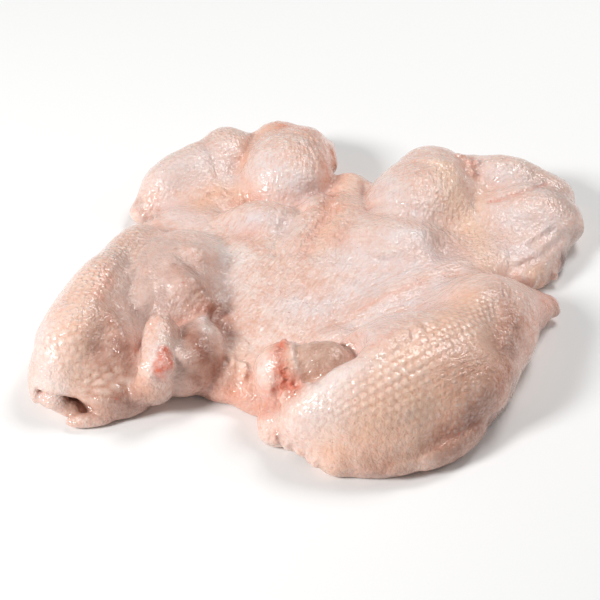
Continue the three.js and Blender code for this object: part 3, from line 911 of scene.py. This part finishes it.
def tints(points, flesh, normals):
    """How much of each colour, and of the painted shade in creases, valleys and undersides, shows at each
    point of the skin, from 0 to 1.
    """
    # Painted shade: the skin is darkened where other skin faces it closely, as in a crease
    away, _ = flesh.sample(points + CREASE_REACH * normals)
    crease_shade = np.clip(1 - away / CREASE_REACH, 0, 1)
    mottle = 0.85 + 0.25 * cloud(points, 8, 5)
    shades = {}
    for tone, places in zones().items():
        shown = [share * along_line(points, Line(*line), width) for _, width, share, *line in places]
        shades[tone] = mottle * most(*shown)
    edges = {name: Line(*line) for name, _, _, *line in skin_edges()}
    bared = right_of(points, edges["over the right shank"], 40)
    in_trough = Line((21, -37, 24), (32, -31, 26), (43, -24, 27), (54, -19, 28))
    on_right_breast = Line((24, -96, 50), (31, -92, 52), (37, -85, 51))
    beside_thigh = Line((-66, 22, 27), (-58, 8, 32), (-51, 8, 28), (-44, -1, 28))
    cartilage = Line((-79, -85, 37), (-79, -90, 35), (-81, -93, 33))
    red_tissue = Line((-20, -80, 38), (-22, -88, 38), (-22, -95, 34), (-18, -102, 31), (-14, -108, 33))
    shades.update({
        "crease_shade": crease_shade,
        "blush": most(
            0.4 * along_line(points, Line((4, 46, 29), (-4, 22, 29), (-8, 6, 29)), 4),  # below the neck
            0.4 * patch(points, (-40, 24), (9, 7), 20),  # left shoulder
            0.3 * patch(points, (10, 20), (7, 10), 0),  # beside the right shoulder
            0.5 * spot(points, (-111, -37, 44), (4, 5, 5)),  # left breast, crest
            0.4 * spot(points, (-116, -50, 44), (3, 4, 5)),  # left breast, rear of its crest
            0.35 * along_line(points, in_trough, 1.6),
            0.35 * along_line(points, on_right_breast, 1.8),
            0.2 * spot(points, (-88, -96, 24), (10, 7, 8)),  # below the left joint
            0.6 * spot(points, (-23, -104, 22), (12, 8, 8)),  # below the right hock
            0.6 * patch(points, (124, -13), (8, 6), 0),  # right breast, neck end
            0.5 * along_line(points, Line(*RIGHT_FOREARM_CREASE), 1.2),
        ),
        "net": most(
            0.8 * patch(points, (78, 48), (11, 26), -28),  # right drumette
            0.8 * patch(points, (90, 24), (16, 18), -20),  # right web
            0.5 * patch(points, (-60, 68), (20, 8), 20),  # left web
            0.4 * patch(points, (-108, 0), (11, 22), -20),  # left breast, neck end
        ),
        "pores": most(
            patch(points, (-118, -20), (14, 56), -20),  # left breast
            0.8 * patch(points, (-128, -56), (14, 26), -20),  # left breast, rear
            0.7 * patch(points, (-80, 94), (30, 20), 40),  # left forearm
            0.8 * patch(points, (-54, 114), (18, 20), 0),  # left elbow
            0.6 * patch(points, (-18, 100), (28, 34), 0),  # left drumette
            0.6 * patch(points, (58, 66), (26, 40), -28),  # right drumette
            0.9 * patch(points, (112, 84), (30, 14), -12),  # right forearm, upper
            0.7 * patch(points, (124, 58), (24, 16), -10),  # right forearm, lower
            0.6 * patch(points, (100, -50), (16, 34), -8),  # right breast, outer side
            0.5 * patch(points, (70, -112), (30, 14), 40),  # right breast, lower side
        ),
        "meat": most(
            on(points, right_leg(), "shank", 1.0) * bared,
            spot(points, (-124, -90, 7), (14, 8, 5)),  # inside the left opening
            spot(points, (-4, -124, 5), (8, 6, 4)),  # inside the right opening
        ),
        "blood": most(
            0.9 * along_line(points, red_tissue, 4.5) * (1 - 0.6 * bared),
            (3 * along_line(points, cartilage, 5.5) - 1.2) * (0.8 + 0.5 * cloud(points, 2.5, 8)),
            0.6 * spot(points, (118, -8, 12), (4, 4, 4)),  # right breast, neck end
        ),
        # The dark cut tone is cut meat and bone at the wrists, and painted shade under the hems of the
        # right breast, in the left opening and in the small hole below the right hock
        "cut": most(
            right_of(points, edges["right wrist"], 14) * np.clip((points[:, 0] - 134) / 3, 0, 1),
            0.2 * right_of(points, edges["left wrist"], 6),
            0.5 * right_of(points, edges["outer hem of the right breast"], 9),
            0.2 * right_of(points, edges["front hem of the right breast"], 7),
            0.3 * spot(points, (-124, -90, 8), (9, 6, 4)),  # left opening
            spot(points, (-22, -105, 21), (1.6, 1.6, 2)),  # small hole below the right hock
        ),
        "white": most(
            0.9 * along_line(points, Line((-62, -52, 32), (-59, -63, 31)), 3.5),  # tendon
            0.8 * along_line(points, cartilage, 7),
            0.8 * along_line(points, edges["over the right shank"], 1.8) * (1 - bared),
            0.6 * spot(points, (-28, -94, 32), (6, 8, 8)),  # right hock
            0.5 * spot(points, (-85, -92, 30), (8, 4, 4)),  # left joint
            0.3 * patch(points, (4, -60), (12, 7), 20),  # fat beside the right hock
            0.6 * patch(points, (0, -116), (18, 8), 20),  # right breast below the shank
            0.7 * along_line(points, beside_thigh, 8),
            0.6 * along_line(points, Line((-147, -88, 17), (-133, -93, 17)), 4),  # rim of the left opening
        ),
        "dry": along_line(points, Line((-90, 2, 40), (-86, -34, 39), (-76, -50, 33)), 15),
        "across": most(
            patch(points, (45, -30), (70, 30), 30),  # trough beside the right breast
            patch(points, (80, -90), (40, 20), 45),  # right breast
        ),
        "slanting": most(
            patch(points, (-20, -20), (55, 45), 0),  # back
            patch(points, (-45, 30), (25, 25), 0),  # left shoulder
        ),
        "upward": most(
            patch(points, (70, 50), (30, 40), 0),  # right drumette
            patch(points, (-8, 95), (30, 35), 0),  # left drumette
            patch(points, (5, 35), (20, 40), 0),  # root of the neck
            patch(points, (100, -50), (14, 34), 0),  # right breast, outer side
        ),
    })
    return shades


# Looks

# Colours of the skin and of what shows through it
SKIN_PALE = "#f3d6c9"
SKIN_PINK = "#eabfae"
SKIN_WHITE = "#f3e2da"
SKIN_ORANGE = "#dfa98f"
FAT_SEAM = "#d99a70"
BLOOD = "#c9604c"

# Tones that the lines and patches on the skin bring out, among them painted shade in the creases, valleys,
# recesses and undersides: how strongly, and the colour
SKIN_TONES_AND_SHADE = [
    ("lavender_and_sheen", 1.0, "#ecdedc"),
    ("peach", 1.0, "#f8c6a8"),
    ("fat", 0.9, "#fbd3b5"),
    ("grey_and_shade", 1.0, "#c3a89e"),
    ("orange", 1.0, "#ea9a7c"),
    ("brown_and_shade", 1.0, "#ad7863"),
    ("painted_shade", 1.0, "#8f5f50"),
    ("blush", 0.75, "#ea9077"),
    ("dome", 0.5, "#fde6d6"),
    ("groove", 0.6, "#d08f6e"),
    ("crease_shade", 0.6, "#bf7259"),
    ("meat", 0.85, "#c19782"),
    ("white", 0.8, "#fff4ee"),
    ("blood", 0.95, "#e37a5f"),
    ("cut", 0.9, "#75483f"),
]

# Sizes of the patterns in the skin, in millimetres
BLOTCH = 15
FLECK = 2.6
RAGGED_EDGE = 6
STREAK = (9, 1.6, 4)
FAT_LOBULE = 3.2
LOBULE_BEND = 4
FINE_FOLLICLE = 2.9
BLOOD_SPECK = 2.6
# The finest grain of real skin is too fine for the render, so it is drawn this coarse to show
GRAIN = 0.9

# Heights of the patterns, in millimetres. Each wrinkle has its size before its height.
WRINKLES = [(3.4, 0.8), (1.7, 0.42)]
STREAK_HEIGHT = 0.7
LOBULE_HEIGHT = 0.25
FINE_FOLLICLE_HEIGHT = 0.5
GRAIN_HEIGHT = 0.35
DRY_GRAIN_HEIGHT = 0.45


def linear(hex_colour):
    """A colour given as an sRGB hex value, turned to linear."""
    channels = [int(hex_colour[i:i + 2], 16) / 255 for i in (1, 3, 5)]
    return [c / 12.92 if c <= 0.04045 else ((c + 0.055) / 1.055) ** 2.4 for c in channels] + [1]


def per_metre(size_mm):
    """Texture scale for a pattern of that size."""
    return 1 / (size_mm * METRES)


def add(tree, kind, inputs=None, **settings):
    """Adds a shader node with its settings. An input takes a value, a socket or a whole node."""
    node = tree.nodes.new("ShaderNode" + kind)
    for name, value in settings.items():
        setattr(node, name, value)
    for name, value in (inputs or {}).items():
        socket = next(s for s in node.inputs if name in (s.identifier, s.name))
        if isinstance(value, bpy.types.Node):
            value = next(s for s in value.outputs if s.enabled)
        if isinstance(value, bpy.types.NodeSocket):
            tree.links.new(value, socket)
        else:
            socket.default_value = value
    return node


# Each of the next three gives shares of tones, to be laid over the skin one after the other

def mottling(tree, place, flecks):
    """Wide blotches of pink, and small flecks of white and orange."""
    blotches = add(tree, "TexNoise", {"Vector": place, "Scale": per_metre(BLOTCH), "Detail": 4})
    wide = add(tree, "MapRange", {"Value": blotches, "From Min": 0.35, "From Max": 0.65})
    layers = [(wide, SKIN_PINK)]
    for low, high, strongest, tone in ((0.52, 0.66, 0.7, SKIN_WHITE), (0.46, 0.34, 0.55, SKIN_ORANGE)):
        share = add(tree, "MapRange", {
            "Value": flecks, "From Min": low, "From Max": high, "To Max": strongest,
        })
        layers.append((share, tone))
    return layers


def tones_and_painted_shade(tree, ragged):
    """What lies under the skin or shows where it is cut, and the shade painted into creases, valleys,
    recesses and undersides, with ragged edges.
    """
    edge = add(tree, "MapRange", {
        "Value": ragged, "From Min": 0.3, "From Max": 0.7, "To Min": 0.45, "To Max": 1.3,
    })
    layers = []
    for name, strength, tone in SKIN_TONES_AND_SHADE:
        here = add(tree, "Attribute", attribute_name=name).outputs["Fac"]
        broken = add(tree, "Math", {"Value": here, "Value_001": edge}, operation="MULTIPLY")
        share = add(tree, "Math", {
            "Value": broken, "Value_001": strength,
        }, operation="MULTIPLY", use_clamp=True)
        layers.append((share, tone))
    return layers


def blood_specks(tree, place):
    """Small red specks of blood under the skin."""
    specks = add(tree, "TexNoise", {"Vector": place, "Scale": per_metre(BLOOD_SPECK), "Detail": 2})
    share = add(tree, "MapRange", {
        "Value": specks, "From Min": 0.68, "From Max": 0.78, "To Max": 0.6,
    })
    return [(share, BLOOD)]


def slack_wrinkles(tree, place):
    """Height of the fine wrinkles all over, which are flatter where the skin is dotted."""
    height = 0.0
    for size, depth in WRINKLES:
        wrinkle = add(tree, "TexNoise", {
            "Vector": place, "Scale": per_metre(size), "Detail": 2, "Roughness": 0.5,
        })
        height = add(tree, "Math", {
            "Value": wrinkle, "Value_001": depth, "Value_002": height,
        }, operation="MULTIPLY_ADD")
    slack = add(tree, "Attribute", attribute_name="slack").outputs["Fac"]
    return add(tree, "Math", {"Value": height, "Value_001": slack}, operation="MULTIPLY")


# Each of the next three gives patterns that both rise and tint the skin where they show: what
# brings them out, their rise, its height, the share of their tone, and the tone

def streaks(tree, place):
    """Long fine wrinkles where the skin is stretched one way, with orange in their grooves."""
    patterns = []
    for name, angle in (("across", 30), ("slanting", 60), ("upward", 88)):
        turned = add(tree, "VectorRotate", {
            "Vector": place, "Angle": math.radians(-angle),
        }, rotation_type="Z_AXIS")
        stretched = add(tree, "VectorMath", {
            "Vector": turned, "Vector_001": [per_metre(size) for size in STREAK],
        }, operation="MULTIPLY")
        streak = add(tree, "TexNoise", {"Vector": stretched, "Scale": 1, "Detail": 2})
        groove = add(tree, "MapRange", {
            "Value": streak, "From Min": 0.46, "From Max": 0.34, "To Max": 0.5,
        })
        patterns.append((name, streak, STREAK_HEIGHT, groove, SKIN_ORANGE))
    return patterns


def fat_lobules(tree, place, flecks):
    """Lobules of fat that show through the skin, with a net of orange between them."""
    bent = add(tree, "VectorMath", {
        "Vector": flecks.outputs["Color"], "Vector_001": [LOBULE_BEND * METRES] * 3, "Vector_002": place,
    }, operation="MULTIPLY_ADD")
    lobules = add(tree, "TexVoronoi", {
        "Vector": bent, "Scale": per_metre(FAT_LOBULE), "Randomness": 0.85,
    }, feature="DISTANCE_TO_EDGE")
    round_top = add(tree, "MapRange", {
        "Value": lobules, "From Max": 0.3,
    }, interpolation_type="SMOOTHSTEP")
    seam = add(tree, "MapRange", {
        "Value": lobules, "From Min": 0.16, "From Max": 0.02, "To Max": 0.3,
    })
    return [("net", round_top, LOBULE_HEIGHT, seam, FAT_SEAM)]


def small_follicles(tree, place):
    """Small feather follicles, a pale dome in each, too fine for the mesh."""
    pits = add(tree, "TexVoronoi", {
        "Vector": place, "Scale": per_metre(FINE_FOLLICLE), "Randomness": 0.55,
    }, feature="F1")
    dome = add(tree, "MapRange", {
        "Value": pits, "From Min": 0.5, "From Max": 0.1,
    }, interpolation_type="SMOOTHSTEP")
    pale = add(tree, "Math", {"Value": dome, "Value_001": 0.5}, operation="MULTIPLY")
    return [("pores", dome, FINE_FOLLICLE_HEIGHT, pale, SKIN_WHITE)]


def raw_skin():
    """Raw chicken skin: thin, wet and see-through, so the fat and muscle below give its colour, with shade
    painted into it in the creases, valleys and undersides.
    Water lies on it in a film, which gives the eye small hard highlights on every bump."""
    material = bpy.data.materials.new("raw chicken skin")
    material.use_nodes = True
    tree = material.node_tree
    tree.nodes.clear()
    place = add(tree, "TexCoord").outputs["Object"]
    flecks = add(tree, "TexNoise", {
        "Vector": place, "Scale": per_metre(FLECK), "Detail": 4, "Roughness": 0.62,
    })
    ragged = add(tree, "TexNoise", {
        "Vector": place, "Scale": per_metre(RAGGED_EDGE), "Detail": 5, "Roughness": 0.65,
    })

    layers = mottling(tree, place, flecks) + tones_and_painted_shade(tree, ragged)
    patterns = streaks(tree, place) + fat_lobules(tree, place, flecks) + small_follicles(tree, place)
    height = slack_wrinkles(tree, place)
    for name, rise, rise_height, tint, tone in patterns:
        here = add(tree, "Attribute", attribute_name=name).outputs["Fac"]
        raised = add(tree, "Math", {"Value": rise, "Value_001": here}, operation="MULTIPLY")
        height = add(tree, "Math", {
            "Value": raised, "Value_001": rise_height, "Value_002": height,
        }, operation="MULTIPLY_ADD")
        share = add(tree, "Math", {"Value": tint, "Value_001": here}, operation="MULTIPLY")
        layers.append((share, tone))

    colour = linear(SKIN_PALE)
    for share, tone in layers + blood_specks(tree, place):
        colour = add(tree, "Mix", {
            "Factor_Float": share, "A_Color": colour, "B_Color": linear(tone),
        }, data_type="RGBA")

    # The water's film fills the finest grain of the skin, so its own surface is smoother,
    # apart from the left thigh, where the skin is almost dry
    grain = add(tree, "TexNoise", {"Vector": place, "Scale": per_metre(GRAIN), "Detail": 2})
    dry = add(tree, "Attribute", attribute_name="dry").outputs["Fac"]
    dry_grain = add(tree, "Math", {"Value": grain, "Value_001": dry}, operation="MULTIPLY")
    surfaces = []
    for rise, rise_height in ((grain, GRAIN_HEIGHT), (dry_grain, DRY_GRAIN_HEIGHT)):
        fine = add(tree, "Math", {
            "Value": rise, "Value_001": rise_height, "Value_002": height,
        }, operation="MULTIPLY_ADD")
        surfaces.append(add(tree, "Bump", {"Height": fine, "Strength": 1.0, "Distance": METRES}))
    relief, film = surfaces

    gloss = add(tree, "MapRange", {
        "Value": ragged, "From Min": 0.3, "From Max": 0.7, "To Min": 0.34, "To Max": 0.52,
    })
    skin = add(tree, "BsdfPrincipled", {
        "Base Color": colour,
        "Roughness": gloss,
        "IOR": 1.42,
        "Subsurface Weight": 0.2,
        "Subsurface Radius": (1.0, 0.4, 0.25),
        "Subsurface Scale": 0.002,
        "Coat Weight": 1.0,
        "Coat Roughness": 0.05,
        "Coat IOR": 1.45,
        "Normal": relief,
        "Coat Normal": film,
    })
    add(tree, "OutputMaterial", {"Surface": skin})
    return material


# Pieces

def thin_underside(points, faces):
    """Merges the many points of the flat underside, where nothing shows, onto a coarse grid."""
    flat = points[:, 2] < LYING
    for _ in range(3):
        flat[faces[~flat[faces].all(1)]] = False
    cell = np.round(points[flat, :2] / UNDERSIDE_STEP).astype(int)
    _, first, member = np.unique(cell, axis=0, return_index=True, return_inverse=True)
    kept = np.arange(len(points))
    kept[flat] = np.flatnonzero(flat)[first][member.ravel()]
    below = flat[faces].any(1)
    merged = [list(dict.fromkeys(face)) for face in kept[faces[below]].tolist()]
    return faces[~below].tolist() + [face for face in merged if len(face) > 2]


def mesh_piece(name, points, faces, material, shades):
    """A smooth piece from points in millimetres of the bird, which rides on its only body."""
    used = np.unique([corner for face in faces for corner in face])
    number = np.zeros(len(points), int)
    number[used] = np.arange(len(used))
    faces = [number[face].tolist() for face in faces]
    mesh = bpy.data.meshes.new(name)
    mesh.from_pydata(((points[used] - MIDDLE) * METRES).tolist(), [], faces)
    for tint, values in shades.items():
        attribute = mesh.attributes.new(tint, "FLOAT", "POINT")
        attribute.data.foreach_set("value", values[used].astype(np.float32))
    mesh.validate()
    mesh.shade_smooth()
    mesh.materials.append(material)
    piece = bpy.data.objects.new(name, mesh)
    bpy.context.collection.objects.link(piece)
    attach(piece, "root")
    return piece


def shape_bird():
    """The whole bird on its lattice: masses, then hollows and lumps, then folds and edges."""
    flesh = Flesh(LATTICE_LOW, LATTICE_HIGH, LATTICE_STEP)
    for piece in back() + left_wing() + right_wing() + left_breast() + left_leg() + right_breast():
        flesh.add(piece)
    flesh.take(nest_of_right_leg())
    for piece in right_leg():
        flesh.add(piece)
    for hollow in hollows():
        flesh.take(hollow)
    for piece in skin_lumps():
        flesh.add(piece)
    for seed, (_, count, spread, size, *line) in enumerate(crumbs()):
        strew(flesh, line, count, spread, size, seed)
    for _, width, depth, lip, *line in folds():
        flesh.press(Line(*line), width, depth, lip)
    for _, reach, depth, *line in skin_edges():
        flesh.step_down(Line(*line), reach, depth)
    for _, width, depth, *line in soft_dents():
        flesh.press(Line(*line), width, depth, sharp=False)
    flesh.rest_on_floor()
    return flesh


def bird():
    """The bird as one mesh under one skin, which stands for the frame's only node."""
    flesh = shape_bird()
    points, faces = skin_over(flesh)
    points = settle(points, flesh)
    normals = normals_of(points, flesh)
    shades = tints(points, flesh, normals)
    height, shades["dome"], shades["groove"], dotted = follicle_relief(points)
    # Dotted skin and the skin of the lower thigh are tight, so their wrinkles are flatter
    height = height + wrinkle_relief(points) * (1 - 0.6 * dotted)
    shades["slack"] = 1 - most(0.75 * dotted, 0.4 * patch(points, (-83, -38), (13, 14)))
    above_floor = np.clip(points[:, 2] / RELIEF_FADES_IN, 0, 1)
    points = points + normals * (height * above_floor)[:, None]
    points[:, 2] = np.clip(points[:, 2], 0, None)
    faces = thin_underside(points, faces)
    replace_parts(mesh_piece("chicken_skin", points, faces, raw_skin(), shades), NODE)


# Stage, light and camera

FLOOR_HALF = 4000
FLOOR_GAP = 0.5
BOARD_WHITE = "#f7f7f6"


def floor():
    """A matt white board, which gives the eye nothing but the bird's soft shadow."""
    half = FLOOR_HALF * METRES
    mesh = bpy.data.meshes.new("floor")
    corners = [(-half, -half, 0), (half, -half, 0), (half, half, 0), (-half, half, 0)]
    mesh.from_pydata(corners, [], [(0, 1, 2, 3)])
    material = bpy.data.materials.new("white studio board")
    material.use_nodes = True
    shader = material.node_tree.nodes["Principled BSDF"]
    shader.inputs["Base Color"].default_value = linear(BOARD_WHITE)
    shader.inputs["Roughness"].default_value = 0.9
    shader.inputs["Specular IOR Level"].default_value = 0.1
    mesh.materials.append(material)
    board = bpy.data.objects.new("floor", mesh)
    board.location.z = -FLOOR_GAP * METRES
    bpy.context.collection.objects.link(board)


def lamp(name, at, size, watts):
    """A square softbox that shines at the bird. Its place and its size are in metres."""
    light = bpy.data.lights.new(name, "AREA")
    light.size = size
    light.energy = watts
    holder = bpy.data.objects.new(name, light)
    holder.location = at
    holder.rotation_euler = (-Vector(at)).to_track_quat("-Z", "Y").to_euler()
    bpy.context.collection.objects.link(holder)


def lights():
    lamp("softbox from the left", at=(-1.1, -0.56, 0.86), size=0.35, watts=18)
    lamp("softbox from behind on the right", at=(0.51, 0.61, 1.27), size=0.5, watts=9)
    lamp("softbox from the right", at=(1.2, 0.2, 0.86), size=0.4, watts=2.5)
    world = bpy.data.worlds.new("white room")
    world.use_nodes = True
    sky = world.node_tree.nodes["Background"]
    sky.inputs["Color"].default_value = (1, 1, 1, 1)
    sky.inputs["Strength"].default_value = 0.22
    bpy.context.scene.world = world


def camera():
    data = bpy.data.cameras.new("camera")
    data.lens = LENS
    data.sensor_width = SENSOR
    holder = bpy.data.objects.new("camera", data)
    tilt = math.radians(CAMERA_ELEVATION)
    back_off = Vector((0, -math.cos(tilt), math.sin(tilt))) * CAMERA_DISTANCE
    holder.location = (Vector(CAMERA_AIM) + back_off) * METRES
    holder.rotation_euler = (math.radians(90) - tilt, 0, 0)
    bpy.context.collection.objects.link(holder)
    bpy.context.scene.camera = holder
    bpy.context.scene.view_settings.view_transform = "Standard"


camera()
lights()
floor()
bird()
